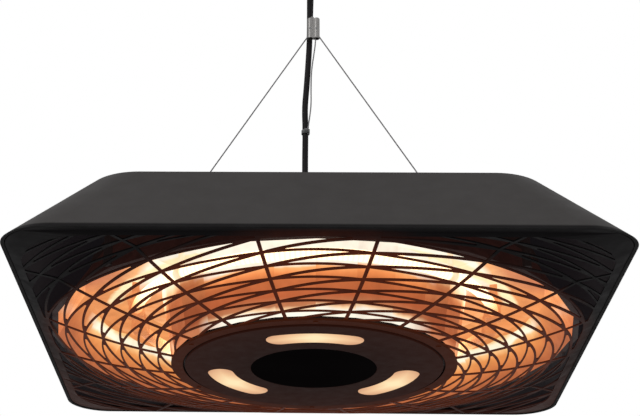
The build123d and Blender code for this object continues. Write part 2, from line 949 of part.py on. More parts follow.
def rope_end(side):
    low, high = rope_line(side)
    way = (high - low).normalized()
    hold = eye_wire + eye_play + rope_radius
    centre = low + way * (loop_ring - hold)
    loop = Pos(*centre) * Rot(90, 0, 0) * Torus(loop_ring, rope_radius)
    foot = centre + way * (loop_ring - 0.5)
    sleeve = rod(tuple(foot), tuple(foot + way * sleeve_length), sleeve_radius)
    inside = rod(tuple(foot + way * 6), tuple(foot + way * (sleeve_length + 1)), rope_radius + rope_bore_gap)
    return loop + sleeve - inside


def rope(side):
    low, high = rope_line(side)
    way = (high - low).normalized()
    start = low + way * (loop_ring * 2 - eye_wire - eye_play - rope_radius + 6)
    return rod(tuple(start), tuple(high), rope_radius)


# Gripper: two barrels and a web, with a release collar round the main rope

gripper_top = gripper_bottom + gripper_height


def main_rope_ends():
    low = Vector(-main_rope_lean, 0, gripper_bottom + gripper_height / 2)
    high = Vector(0, 0, ferrule_low + ferrule_length - 5)
    return low, high


def gripper_body():
    body = block(-gripper_barrel_offset, gripper_barrel_offset, -gripper_web_depth, gripper_web_depth, gripper_bottom,
                 gripper_top - 1.2)
    for side in (-1, 1):
        barrel = disc(gripper_barrel, gripper_bottom, gripper_top)
        barrel = fillet(barrel.edges().group_by(Axis.Z)[-1], 1.2)
        body += Pos(side * gripper_barrel_offset, 0) * barrel
    for side in (-1, 1):
        low, high = rope_line(side)
        body -= rod(tuple(low), tuple(high), rope_radius + rope_bore_gap)
        mouth = disc(gripper_mouth_radius, gripper_bottom - 1, gripper_bottom + gripper_mouth_depth)
        body -= Pos(side * gripper_barrel_offset, 0) * mouth
        screw_hole = rod((side * gripper_barrel_offset, -gripper_barrel - 1, gripper_bottom + 12),
                         (side * gripper_barrel_offset, -gripper_barrel + set_screw_length, gripper_bottom + 12),
                         set_screw_radius + 0.02)
        body -= screw_hole
    low, high = main_rope_ends()
    body -= rod(tuple(low), tuple(high), main_rope_radius + rope_bore_gap)
    body -= Pos(*collar_place()) * disc(collar_radius + collar_play, gripper_top - collar_height - 1.7, gripper_top + 1)
    return body


def collar_place():
    low, high = main_rope_ends()
    share = (gripper_top - low.Z) / (high.Z - low.Z)
    return low.X + (high.X - low.X) * share, 0


def release_collar():
    low = gripper_top + collar_proud - collar_height
    collar = tube(collar_radius, main_rope_radius + 0.22, low, gripper_top + collar_proud)
    return Pos(*collar_place()) * collar


def set_screws():
    group = []
    for side in (-1, 1):
        x = side * gripper_barrel_offset
        level = gripper_bottom + 12
        screw = rod((x, -gripper_barrel + 0.3, level), (x, -gripper_barrel + set_screw_length, level), set_screw_radius)
        group.append(screw)
    return group


# Ceiling end: bracket, clevis, cross link, rope ferrule, canopy

bracket_low = hang_height - bracket_sheet
upper_pin = hang_height - upper_pin_drop
lower_pin = hang_height - lower_pin_drop
lug_inner = link_thickness / 2 + link_play
lug_outer = lug_inner + clevis_lug
pin_half = lug_outer + 0.9
ferrule_top = lower_pin - link_end - 3.0
ferrule_low = ferrule_top - ferrule_length


def ceiling_bracket():
    half = bracket_length / 2
    strap = block(-half, half, -bracket_width / 2, bracket_width / 2, bracket_low, hang_height)
    for side in (-1, 1):
        tab = block(half - bracket_sheet, half, -bracket_width / 2, bracket_width / 2, hang_height - bracket_tab,
                    hang_height - 1)
        screw_level = hang_height - canopy_screw_drop
        way_out = block(half - 5, half + 5, -canopy_screw_radius - canopy_screw_gap,
                        canopy_screw_radius + canopy_screw_gap, hang_height - bracket_tab - 1, screw_level)
        bore = rod((half - 5, 0, screw_level), (half + 5, 0, screw_level), canopy_screw_radius + canopy_screw_gap)
        tab = tab - way_out - bore
        strap += tab if side > 0 else turned(tab, 180)
        slot = SlotOverall(fixing_slot_length, 2 * fixing_slot_radius)
        strap -= extrude(Pos(side * slot_spacing / 2, 0, bracket_low - 1) * slot, bracket_sheet + 2)
    return strap


def hanger_clevis():
    half = clevis_base_side / 2
    base = block(-half, half, -half, half, bracket_low - clevis_base, bracket_low)
    for side in (-1, 1):
        y0, y1 = sorted((side * lug_inner, side * lug_outer))
        lug = block(-clevis_width / 2, clevis_width / 2, y0, y1, upper_pin, bracket_low - clevis_base)
        nose = rod((0, y0, upper_pin), (0, y1, upper_pin), clevis_width / 2)
        base += lug + nose
    base -= rod((0, -20, upper_pin), (0, 20, upper_pin), pin_radius + 0.01)
    return base


def upper_hanger_pin():
    return rod((0, -pin_half, upper_pin), (0, pin_half, upper_pin), pin_radius)


def hanger_link():
    half = link_thickness / 2
    middle = (upper_pin + lower_pin) / 2
    upper = block(-link_end, link_end, -half, half, middle, upper_pin)
    upper += rod((0, -half, upper_pin), (0, half, upper_pin), link_end)
    lower = block(-half, half, -link_end, link_end, lower_pin, middle)
    lower += rod((-half, 0, lower_pin), (half, 0, lower_pin), link_end)
    waist = block(-link_end, link_end, -link_end, link_end, middle - 0.8, middle + 0.8)
    link = upper + lower + waist
    link -= rod((0, -20, upper_pin), (0, 20, upper_pin), pin_radius + pin_play)
    link -= rod((-20, 0, lower_pin), (20, 0, lower_pin), pin_radius + 0.01)
    return link


def lower_hanger_pin():
    return rod((-pin_half, 0, lower_pin), (pin_half, 0, lower_pin), pin_radius)


def rope_ferrule():
    """Fork on the lower pin, and a crimped sleeve that holds the main rope."""
    body = disc(ferrule_radius, ferrule_low, ferrule_top)
    body += block(-lug_outer, lug_outer, -link_end, link_end, ferrule_top - 2.4, ferrule_top)
    for side in (-1, 1):
        x0, x1 = sorted((side * lug_inner, side * lug_outer))
        body += block(x0, x1, -link_end, link_end, ferrule_top - 2.4, lower_pin)
        body += rod((x0, 0, lower_pin), (x1, 0, lower_pin), link_end)
    body -= rod((-20, 0, lower_pin), (20, 0, lower_pin), pin_radius + pin_play)
    low, high = main_rope_ends()
    body -= rod(tuple(low), tuple(high), main_rope_radius + rope_bore_gap)
    return body


def main_rope():
    low, high = main_rope_ends()
    return rod(tuple(low), tuple(high), main_rope_radius)


def canopy_cover():
    low = hang_height - canopy_height
    cup = disc(canopy_radius, low, hang_height - 0.3)
    cup = fillet(cup.edges().group_by(Axis.Z)[0], 6)
    inner = disc(canopy_radius - canopy_sheet, low + canopy_sheet, hang_height + 1)
    inner = fillet(inner.edges().group_by(Axis.Z)[0], 6 - canopy_sheet)
    cup -= inner
    cup -= disc(canopy_opening, low - 1, low + canopy_sheet + 1)
    level = hang_height - canopy_screw_drop
    cup -= rod((-canopy_radius - 5, 0, level), (canopy_radius + 5, 0, level), canopy_screw_radius + 0.05)
    return cup


def canopy_screws():
    level = hang_height - canopy_screw_drop
    tip = bracket_length / 2 - bracket_sheet - 1
    group = []
    for side in (-1, 1):
        shank = rod((side * tip, 0, level), (side * canopy_radius, 0, level), canopy_screw_radius)
        head = rod((side * canopy_radius, 0, level), (side * (canopy_radius + 2), 0, level), canopy_screw_head)
        group.append(shank + head)
    return group


def ceiling_block():
    """Terminal block for the supply, under the bracket."""
    x0, x1 = ceiling_block_x - ceiling_block_length / 2, ceiling_block_x + ceiling_block_length / 2
    low = bracket_low - ceiling_block_height
    body = block(x0, x1, -ceiling_block_width / 2, ceiling_block_width / 2, low, bracket_low)
    for i in range(3):
        x = x0 + ceiling_block_length * (i + 0.5) / 3
        body -= rod((x, -20, low + 5), (x, 20, low + 5), 1.8)
    return body


def cord_anchor():
    """Strain relief under the bracket. The cord's end goes up into it, with room to swing."""
    x, y, top = power_cord_points()[-1]
    low = hang_height - anchor_mouth
    body = block(x - anchor_width / 2, x + anchor_width / 2, y - anchor_back, y + anchor_front, low, bracket_low)
    body = fillet(body.edges().filter_by(Axis.Z).sort_by(Axis.Y)[-2:], 3)
    body -= Pos(x, y) * disc(cord_radius + anchor_play, low - 1, low + anchor_pocket)
    return body


def main():
    near = (180 + lamp_end_angle, 360 - lamp_end_angle)
    far = (lamp_end_angle, 180 - lamp_end_angle)
    save("ceiling_bracket", ceiling_bracket())
    save("ceiling_terminal_block", ceiling_block())
    save("cord_anchor", cord_anchor())
    save("hanger_clevis", hanger_clevis())
    save("upper_hanger_pin", upper_hanger_pin())
    save("canopy_cover", canopy_cover())
    save("canopy_screws", canopy_screws())
    save("hanger_link", hanger_link())
    save("lower_hanger_pin", lower_hanger_pin())
    save("rope_ferrule", rope_ferrule())
    save("main_rope", main_rope())
    save("gripper_body", gripper_body())
    save("gripper_set_screws", set_screws())
    save("release_collar", release_collar())
    save("rope_left", rope(-1))
    save("rope_right", rope(1))
    save("rope_end_left", rope_end(-1))
    save("rope_end_right", rope_end(1))
    save("rope_spare_end", hose(tail_points(), tail_radius, "rope spare end"))
    save("power_cord", hose(power_cord_points(), cord_radius, "power cord"))
    save("cord_tie", cord_tie())
    save("cord_gland", cord_gland())
    save("gland_nut", gland_nut())
    save("gland_locknut", gland_locknut())
    save("cord_inner_end", cord_tail())
    save("shade", shade())
    save("rope_eyes", rope_eyes())
    save("eye_nuts", eye_nuts())
    save("posts", posts())
    save("post_screws", post_screws())
    save("grille", grille())
    save("reflector", reflector())
    save("heat_shield", heat_shield())
    save("shield_spacers", shield_spacers())
    save("lamp_near", lamp(*near))
    save("lamp_far", lamp(*far))
    save("filament_near", filament(*near))
    save("filament_far", filament(*far))
    save("lamp_caps_near", lamp_caps(*near))
    save("lamp_caps_far", lamp_caps(*far))
    save("lamp_clips", lamp_clips())
    save("cap_carrier_right", cap_carrier(1))
    save("cap_carrier_left", cap_carrier(-1))
    save("lead_bushings", lead_bushings())
    save("lamp_lead_right", lamp_lead(1))
    save("lamp_lead_left", lamp_lead(-1))
    save("terminal_block", terminal_block())
    save("thermal_cutout", thermal_cutout())
    save("hub_ring", hub_ring())
    save("hub_housing", hub_housing())
    save("hub_screws", hub_screws())
    save("light_disc", light_disc())
    for name, middle in zip(("near", "right", "left"), slot_middles()):
        save(f"diffuser_{name}", diffuser(middle))
    save("led_board", led_board())
    save("led_chips", led_chips())
    save("led_driver", led_driver())
    save("centre_cover", centre_cover())


main()
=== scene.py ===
import json
import math

import bpy
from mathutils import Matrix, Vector


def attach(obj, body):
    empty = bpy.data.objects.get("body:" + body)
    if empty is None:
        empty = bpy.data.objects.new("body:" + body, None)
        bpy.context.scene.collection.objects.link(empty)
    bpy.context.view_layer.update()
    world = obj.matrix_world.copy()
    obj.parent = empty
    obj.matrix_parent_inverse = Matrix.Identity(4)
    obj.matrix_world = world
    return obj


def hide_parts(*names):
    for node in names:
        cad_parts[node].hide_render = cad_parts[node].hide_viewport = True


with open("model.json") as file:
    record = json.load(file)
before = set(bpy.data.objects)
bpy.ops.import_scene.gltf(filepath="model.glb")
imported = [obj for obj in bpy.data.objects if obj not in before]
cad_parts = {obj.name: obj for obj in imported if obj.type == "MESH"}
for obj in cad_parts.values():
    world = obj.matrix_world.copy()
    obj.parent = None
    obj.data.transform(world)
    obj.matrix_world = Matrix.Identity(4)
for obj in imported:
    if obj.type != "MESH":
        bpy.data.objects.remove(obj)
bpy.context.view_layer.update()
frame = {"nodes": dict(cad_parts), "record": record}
nodes = frame["nodes"]

# Hanging infrared heater: looks. Metres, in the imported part's frame. The ceiling is at z = 0.

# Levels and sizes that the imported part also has
rim_level = -0.492
cord_radius = 0.0035
cord_x = -0.0094
cord_y = 0.0076
cord_bottom = -0.393
rope_radius = 0.0008
rope_lay = 0.009
eye_x = 0.173
eye_top = -0.387
rope_start = 0.0106
grip_x = 0.0036
grip_level = -0.117
gripper_bottom = rim_level + 0.3675
main_rope_radius = 0.001
main_rope_x = -0.0018
main_rope_start = 0.0135
ferrule_level = -0.0446
spare_x = 0.0025
tie_x = -0.00625
tie_y = 0.0039
tie_level = rim_level + 0.248
strand_count = 6
strand_share = 0.42
steps_per_lay = 9

# Grille
grille_under = 0.0005
grille_sheet = 0.0015
grille_side = 0.5918
grille_corner = 0.047
grille_lip = 0.002
grille_drop = 0.0035
dome_depth = 0.0365
dome_bulge = 0.004
dome_corner = 0.222
flange_radius = 0.152
hole_radius = 0.144
spoke_count = 16
sector = 360.0 / spoke_count
spoke_width = 0.0034
ring_bar = 0.0019
diagonal_bar = 0.0025
ring_pitch = 0.020
first_ring = 0.1475
blunt_angle = 4.8
field_half = 0.2855
field_corner = 0.075
smallest_slot = 0.000016
slot_steps = 14
halvings = 22
hub_screw_count = 6
hub_screw_circle = 0.1475
hub_screw_hole = 0.00165

# Reflector and lamps
reflector_sides = 24
reflector_sheet = 0.0008
reflector_profile = [
    (0.2845, -0.0013), (0.2785, -0.0013), (0.2710, 0.0125), (0.2620, 0.0285), (0.2520, 0.0450),
    (0.2090, 0.0515), (0.1660, 0.0455), (0.1610, 0.0200), (0.1560, -0.0080), (0.1522, -0.0330),
]
trough_middle = 0.209
trough_level = rim_level + 0.010
mouth_radius = 0.2790
slot_circle = 0.102
slot_count = 3
slot_offset = 0.25
lamp_glow_edge = (0.302, 0.268)
ring_hole = 0.1402
inner_fold = 0.1660
outer_fold = 0.2520
inner_foot = rim_level - 0.033
fold_level = rim_level + 0.046

# Grain and lines in the coats, painted shade on the hem and on edges, the painted glow inside the
# shade, and the streak and sway of the reflector's painted glow
coat_grain = 0.00004
line_squeeze = 14.0
# Levels of the painted shade on the rolled hem, and of the painted glow inside the shade
hem_shade_full = rim_level + 0.0036
hem_shade_end = rim_level + 0.0060
inside_glow_full = rim_level + 0.010
# Width of the painted shade at a hub plate's inner edge
edge_shade_band = 0.0012
streak_slope = 0.38
streak_start = 0.209
sway_middle = 0.0085
coil_waves = 1500.0

# Painted glow on the reflector, for the lamps' light and reflections, up its walls and from the hub out
# on its crown
inner_bands = [
    (0.07, (1.0, 0.93, 0.78)),
    (0.11, (0.98, 0.66, 0.38)),
    (0.15, (0.50, 0.19, 0.085)),
    (0.27, (0.47, 0.115, 0.042)),
    (0.47, (0.51, 0.14, 0.047)),
    (0.56, (0.78, 0.25, 0.08)),
    (0.63, (0.90, 0.40, 0.15)),
    (0.67, (1.0, 0.90, 0.74)),
    (1.0, (1.0, 0.92, 0.76)),
]
inner_side_bands = [
    (0.04, (0.56, 0.20, 0.09)),
    (0.14, (0.30, 0.075, 0.03)),
    (0.50, (0.33, 0.09, 0.035)),
    (0.60, (0.36, 0.095, 0.035)),
    (0.68, (0.52, 0.18, 0.07)),
    (0.76, (0.90, 0.55, 0.28)),
    (0.88, (1.0, 0.85, 0.62)),
]
outer_bands = [
    (0.05, (0.44, 0.125, 0.048)),
    (0.28, (0.64, 0.20, 0.063)),
    (0.50, (0.80, 0.30, 0.088)),
    (0.64, (0.98, 0.56, 0.24)),
    (0.70, (1.0, 0.93, 0.72)),
    (0.80, (1.0, 0.90, 0.66)),
    (0.88, (0.95, 0.60, 0.26)),
    (1.0, (0.90, 0.45, 0.15)),
]
outer_side_bands = [
    (0.05, (0.46, 0.135, 0.055)),
    (0.35, (0.53, 0.16, 0.058)),
    (0.75, (0.68, 0.24, 0.08)),
    (1.0, (0.78, 0.30, 0.10)),
]
crown_near_bands = [
    (0.10, (1.0, 0.92, 0.76)),
    (0.30, (1.0, 0.90, 0.72)),
    (0.40, (0.85, 0.42, 0.18)),
    (0.58, (0.62, 0.22, 0.09)),
    (0.80, (0.55, 0.18, 0.075)),
    (1.0, (0.55, 0.17, 0.075)),
]
crown_far_bands = [
    (0.0, (0.78, 0.33, 0.13)),
    (0.35, (0.72, 0.28, 0.10)),
    (0.60, (0.80, 0.32, 0.105)),
    (0.80, (0.72, 0.26, 0.085)),
    (1.0, (0.72, 0.26, 0.085)),
]

# Camera, fitted to the photograph of 640 by 416 pixels, and the studio's light
camera_place = (-0.022106, -1.658316, -1.066234)
camera_turn_deg = (113.5714, -1.0022, 1.6535)
camera_lens = 90.584
camera_shift_x = 0.125
floor_level = -3.0
floor_side = 9.0
room_light = 0.27
mirror_light = 0.4
key_watts = 26
fill_watts = 11
light_target = (0, 0, -0.45)


# Material nodes

shader_inputs = {
    "colour": "Base Color",
    "roughness": "Roughness",
    "metallic": "Metallic",
    "gloss": "Specular IOR Level",
    "glow": "Emission Color",
    "power": "Emission Strength",
}


def new_material(name):
    """A material with an empty node tree but for its Principled shader and output."""
    material = bpy.data.materials.new(name)
    material.use_nodes = True
    tree = material.node_tree
    shader = tree.nodes["Principled BSDF"]
    return material, tree, shader


def feed(tree, socket, value):
    """Gives an input socket a node's output, a colour or a number."""
    if isinstance(value, tuple):
        socket.default_value = (*value, 1.0)
    elif isinstance(value, (int, float)):
        socket.default_value = value
    else:
        tree.links.new(value, socket)


def paint(tree, shader, **looks):
    """Feeds the shader's inputs, by the short names above."""
    for name, value in looks.items():
        feed(tree, shader.inputs[shader_inputs[name]], value)


def add(tree, kind, **settings):
    """A new node with these input values or properties."""
    node = tree.nodes.new(kind)
    for key, value in settings.items():
        if key in node.inputs:
            node.inputs[key].default_value = value
        else:
            setattr(node, key, value)
    return node


def math_node(tree, operation, *values):
    node = add(tree, "ShaderNodeMath", operation=operation)
    for socket, value in zip(node.inputs, values):
        feed(tree, socket, value)
    return node.outputs[0]


def plus(tree, first, second):
    return math_node(tree, "ADD", first, second)


def minus(tree, first, second):
    return math_node(tree, "SUBTRACT", first, second)


def times(tree, first, second):
    return math_node(tree, "MULTIPLY", first, second)


def distance(tree, first, second):
    """How far apart two values are."""
    return math_node(tree, "ABSOLUTE", minus(tree, first, second))


def object_place(tree):
    return add(tree, "ShaderNodeTexCoord").outputs["Object"]


def noise(tree, place, scale, detail=3.0, roughness=0.55):
    node = add(tree, "ShaderNodeTexNoise", Scale=scale, Detail=detail, Roughness=roughness)
    feed(tree, node.inputs["Vector"], place)
    return node.outputs["Fac"]


def ramp(tree, value, stops):
    """Colours over a value from 0 to 1."""
    node = add(tree, "ShaderNodeValToRGB")
    elements = node.color_ramp.elements
    while len(elements) < len(stops):
        elements.new(0.5)
    for element, (position, colour) in zip(elements, stops):
        element.position = position
        element.color = (*colour, 1.0)
    feed(tree, node.inputs["Fac"], value)
    return node.outputs["Color"]


def spread(tree, value, low, high, to_low=0.0, to_high=1.0):
    """A value's share of a range, mapped on another range and held at its ends."""
    node = add(tree, "ShaderNodeMapRange")
    limits = {"Value": value, "From Min": low, "From Max": high, "To Min": to_low, "To Max": to_high}
    for name, number in limits.items():
        feed(tree, node.inputs[name], number)
    return node.outputs["Result"]


def drift(tree, value, dark, light):
    """Two tones that a noise value drifts between."""
    return ramp(tree, value, [(0.3, dark), (0.7, light)])


def patches(tree, place, scale, low, high, detail=3.0):
    """A level that varies in patches of noise."""
    return spread(tree, noise(tree, place, scale, detail), 0.3, 0.7, low, high)


def mix(tree, share, first, second):
    """Two colours, mixed by a share from 0 to 1."""
    node = add(tree, "ShaderNodeMix", data_type="RGBA")
    feed(tree, node.inputs["Factor"], share)
    feed(tree, node.inputs[6], first)
    feed(tree, node.inputs[7], second)
    return node.outputs[2]


def bump(tree, shader, height, depth):
    node = add(tree, "ShaderNodeBump", Strength=1.0, Distance=depth)
    feed(tree, node.inputs["Height"], height)
    feed(tree, shader.inputs["Normal"], node.outputs["Normal"])


def separate(tree, vector):
    """A vector's X, Y and Z."""
    node = add(tree, "ShaderNodeSeparateXYZ")
    feed(tree, node.inputs[0], vector)
    return tuple(node.outputs)


def from_axis(tree, x, y):
    """Distance from the heater's upright axis."""
    return math_node(tree, "SQRT", plus(tree, times(tree, x, x), times(tree, y, y)))


def turn_share(tree, x, y):
    """Share of a turn round the axis, from 0 to 1, with 0.5 in the direction of X."""
    turn = math_node(tree, "ARCTAN2", y, x)
    return plus(tree, math_node(tree, "DIVIDE", turn, 2 * math.pi), 0.5)


def coated(name, dark, light, roughness, gloss=0.3, grain=900.0, drift_scale=9.0):
    """A sprayed or moulded finish: slight colour drift, uneven gloss, fine grain."""
    material, tree, shader = new_material(name)
    place = object_place(tree)
    paint(tree, shader,
          colour=drift(tree, noise(tree, place, drift_scale), dark, light),
          roughness=patches(tree, place, 45.0, roughness - 0.06, roughness + 0.06),
          gloss=gloss)
    bump(tree, shader, noise(tree, place, grain, 2.0), coat_grain)
    return material


def worked_metal(name, dark, light, roughness, scale=260.0, depth=0.00002):
    """Bare or plated metal with fine level lines, uneven gloss and faint stains."""
    material, tree, shader = new_material(name)
    place = object_place(tree)
    lines = add(tree, "ShaderNodeMapping")
    lines.inputs["Scale"].default_value = (1.0, 1.0, line_squeeze)
    feed(tree, lines.inputs["Vector"], place)
    grain = noise(tree, lines.outputs["Vector"], scale, 4.0, 0.7)
    stains = noise(tree, place, 55.0, 4.0)
    tone = plus(tree, times(tree, grain, 0.5), times(tree, stains, 0.5))
    paint(tree, shader,
          colour=ramp(tree, tone, [(0.35, dark), (0.65, light)]),
          roughness=spread(tree, stains, 0.3, 0.7, roughness - 0.08, roughness + 0.1),
          metallic=1.0)
    bump(tree, shader, grain, depth)
    return material


# Finishes of the heater's own parts

def shade_paint():
    """Satin grey coat, with painted shade near black on the rolled hem. A painted glow on the faces
    that look down inside stands in for the lamps' stray light.
    """
    material = coated("shade_coat", (0.0555, 0.0505, 0.049), (0.0605, 0.0555, 0.0540), 0.52)
    tree = material.node_tree
    shader = tree.nodes["Principled BSDF"]
    coat = shader.inputs["Base Color"].links[0].from_socket
    z = separate(tree, object_place(tree))[2]
    normal_z = separate(tree, add(tree, "ShaderNodeNewGeometry").outputs["Normal"])[2]
    # Painted glow for stray light on the inside faces that look down, above the hem; painted shade,
    # near black, on the hem itself
    downward = spread(tree, normal_z, -0.05, -0.2)
    above_hem = spread(tree, z, hem_shade_end, inside_glow_full)
    paint(tree, shader,
          colour=mix(tree, spread(tree, z, hem_shade_full, hem_shade_end), (0.008, 0.007, 0.0075), coat),
          gloss=spread(tree, z, hem_shade_full, hem_shade_end, 0.08, 0.3),
          glow=(0.0052, 0.0046, 0.0056),
          power=times(tree, downward, above_hem))
    return material


def lit_part(name, low, high, colour):
    """A part inside the heater with the lamps' light painted on as a glow, bright beside them and faint
    behind.
    """
    material, tree, shader = new_material(name)
    grain = noise(tree, object_place(tree), 120.0)
    paint(tree, shader, colour=colour, roughness=0.5, glow=drift(tree, grain, low, high), power=1.0)
    bump(tree, shader, grain, 0.0002)
    return material


def grille_coat():
    """Black heat-proof coat. A painted warm reflection browns it towards the back, and over the lamps a
    painted red glow stands in for their light.
    """
    material, tree, shader = new_material("grille_coat")
    place = object_place(tree)
    x, y = separate(tree, place)[:2]
    # Painted warm reflection: the coat browns towards the back
    back = spread(tree, y, -0.12, 0.25)
    coat = mix(tree, back, (0.0165, 0.0150, 0.0162), (0.024, 0.014, 0.012))
    # Painted red glow of the lamps, over them and towards the back
    over_lamps = spread(tree, from_axis(tree, x, y), *lamp_glow_edge)
    lit = math_node(tree, "MAXIMUM", over_lamps, spread(tree, y, 0.02, 0.20))
    paint(tree, shader,
          colour=mix(tree, over_lamps, coat, (0.010, 0.0055, 0.0045)),
          roughness=patches(tree, place, 80.0, 0.42, 0.58),
          gloss=0.06,
          glow=mix(tree, over_lamps, (0.020, 0.0062, 0.0045), (0.056, 0.0100, 0.0034)),
          power=times(tree, lit, patches(tree, place, 60.0, 0.7, 1.2)))
    bump(tree, shader, noise(tree, place, 900.0, 2.0), coat_grain)
    return material


def hub_coat(name, colour, warm, edge=0.0):
    """Satin coat of the hub's plates, with a painted warm glow for the lamps' light. Inside the edge's
    radius it's painted black, as shade at the ring's inner edge.
    """
    material, tree, shader = new_material(name)
    place = object_place(tree)
    x, y = separate(tree, place)[:2]
    radius = from_axis(tree, x, y)
    # Painted shade: black inside the edge's radius
    flat = spread(tree, radius, edge, edge + edge_shade_band)
    dark = tuple(c * 0.9 for c in colour)
    coat = drift(tree, noise(tree, place, 7.0, 2.0), dark, colour)
    # A painted warm glow for the lamps' light, stronger outwards
    paint(tree, shader,
          colour=mix(tree, flat, (0.001, 0.001, 0.001), coat),
          roughness=patches(tree, place, 70.0, 0.5, 0.62),
          gloss=times(tree, flat, 0.05),
          glow=warm,
          power=times(tree, flat, spread(tree, radius, 0.06, 0.15, 0.5, 1.0)))
    bump(tree, shader, noise(tree, place, 1100.0, 2.0), 0.00003)
    return material


def trough_glow(tree, place, chance, wall):
    """The painted glow's colour in bands on the inner wall, crown and outer wall, for the lamps' light
    and reflections, with a slanted streak of painted reflection.
    """
    x, y, z = separate(tree, place)
    radius = from_axis(tree, x, y)
    sway = plus(tree, times(tree, chance, 0.005), times(tree, noise(tree, place, 26.0), 0.010))
    sway = minus(tree, sway, sway_middle)
    height, out = plus(tree, z, sway), plus(tree, radius, sway)
    turn = times(tree, minus(tree, turn_share(tree, x, y), 0.5), 2 * math.pi)
    across = math_node(tree, "ABSOLUTE", math_node(tree, "SINE", turn))

    up_inner = spread(tree, height, inner_foot, fold_level)
    inner = mix(tree, spread(tree, across, 0.62, 0.80),
                ramp(tree, up_inner, inner_side_bands), ramp(tree, up_inner, inner_bands))
    up_outer = spread(tree, height, rim_level, fold_level)
    outer = mix(tree, spread(tree, across, 0.16, 0.30),
                ramp(tree, up_outer, outer_side_bands), ramp(tree, up_outer, outer_bands))
    over_crown = spread(tree, out, inner_fold, outer_fold)
    crown = mix(tree, spread(tree, y, -0.04, 0.0),
                ramp(tree, over_crown, crown_near_bands), ramp(tree, over_crown, crown_far_bands))

    # A slanted streak of painted reflection of the lamp on the crown
    off_streak = distance(tree, minus(tree, out, times(tree, y, streak_slope)), streak_start)
    streak = times(tree, spread(tree, off_streak, 0.010, 0.005), spread(tree, y, 0.042, 0.030))
    crown = mix(tree, streak, crown, (1.0, 0.82, 0.48))
    inner_or_crown = mix(tree, math_node(tree, "GREATER_THAN", radius, inner_fold), inner, crown)
    return mix(tree, wall, inner_or_crown, outer)


def reflector_bright():
    """Bright faceted sheet that mirrors the lamps. On its walls and crown the lamps' light and
    reflections are painted on as a glow in bands.
    """
    material, tree, shader = new_material("reflector_bright")
    place = object_place(tree)
    x, y = separate(tree, place)[:2]
    facet = math_node(tree, "FLOOR", times(tree, turn_share(tree, x, y), reflector_sides))
    wall = math_node(tree, "GREATER_THAN", from_axis(tree, x, y), outer_fold)
    pair = add(tree, "ShaderNodeCombineXYZ")
    feed(tree, pair.inputs[0], facet)
    feed(tree, pair.inputs[1], wall)
    each = add(tree, "ShaderNodeTexWhiteNoise", noise_dimensions="2D")
    feed(tree, each.inputs["Vector"], pair.outputs[0])
    chance = each.outputs["Value"]
    paint(tree, shader,
          colour=(0.06, 0.026, 0.010),
          metallic=1.0,
          roughness=patches(tree, place, 30.0, 0.14, 0.3, 2.0),
          glow=trough_glow(tree, place, chance, wall),
          power=plus(tree, times(tree, chance, 0.16), patches(tree, place, 70.0, 0.86, 1.06, 4.0)))
    bump(tree, shader, noise(tree, place, 22.0, 2.0), 0.0012)
    return material


def lamp_on():
    """Ring lamp in use: white hot, redder and dimmer towards its ends and on the far side."""
    material, tree, shader = new_material("lamp_glass")
    x, y = separate(tree, object_place(tree))[:2]
    share = turn_share(tree, x, y)
    turn = times(tree, share, 2 * math.pi)
    from_ends = math_node(tree, "ABSOLUTE", math_node(tree, "SINE", turn))
    heat = minus(tree, from_ends, spread(tree, y, -0.02, 0.05, 0.0, 0.16))
    tones = [(0.12, (0.80, 0.24, 0.07)), (0.24, (1.0, 0.45, 0.16)), (0.40, (1.0, 0.76, 0.45))]
    coil = spread(tree, math_node(tree, "SINE", times(tree, share, coil_waves)), -1, 1, 0.8, 1.15)
    paint(tree, shader,
          colour=(0.9, 0.7, 0.45),
          roughness=0.08,
          glow=ramp(tree, heat, tones),
          power=times(tree, spread(tree, heat, 0.15, 0.42, 0.7, 2.1), coil))
    return material


def diffuser_milk():
    """Milky lens, lit from behind: pale yellow in the middle of each slot, pinker at its ends."""
    material, tree, shader = new_material("diffuser_milk")
    place = object_place(tree)
    x, y = separate(tree, place)[:2]
    from_slot = plus(tree, turn_share(tree, x, y), slot_offset)
    third = math_node(tree, "FRACT", times(tree, from_slot, slot_count))
    along = times(tree, distance(tree, third, 0.5), 3.2)
    beside = times(tree, distance(tree, from_axis(tree, x, y), slot_circle), 22.0)
    haze = plus(tree, plus(tree, along, beside), times(tree, noise(tree, place, 90.0), 0.12))
    tones = [(0.2, (0.98, 0.78, 0.45)), (0.6, (0.86, 0.52, 0.27)), (1.0, (0.62, 0.30, 0.15))]
    paint(tree, shader,
          colour=(0.2, 0.17, 0.14), roughness=0.4, gloss=0.1, glow=ramp(tree, haze, tones), power=0.97)
    bump(tree, shader, noise(tree, place, 700.0, 2.0), 0.00003)
    return material


def filament_hot():
    """Carbon filament, glowing."""
    material, tree, shader = new_material("filament_wire")
    grain = noise(tree, object_place(tree), 900.0, 2.0)
    paint(tree, shader, glow=drift(tree, grain, (1.0, 0.5, 0.16), (1.0, 0.7, 0.35)), power=14.0)
    return material


def lead_sleeve():
    """Braided glass sleeve."""
    material, tree, shader = new_material("lead_sleeve")
    weave = add(tree, "ShaderNodeTexVoronoi", Scale=900.0)
    feed(tree, weave.inputs["Vector"], object_place(tree))
    height = weave.outputs["Distance"]
    tones = [(0.1, (0.62, 0.57, 0.48)), (0.6, (0.80, 0.76, 0.68))]
    paint(tree, shader, colour=ramp(tree, height, tones), roughness=0.8)
    bump(tree, shader, height, 0.0002)
    return material


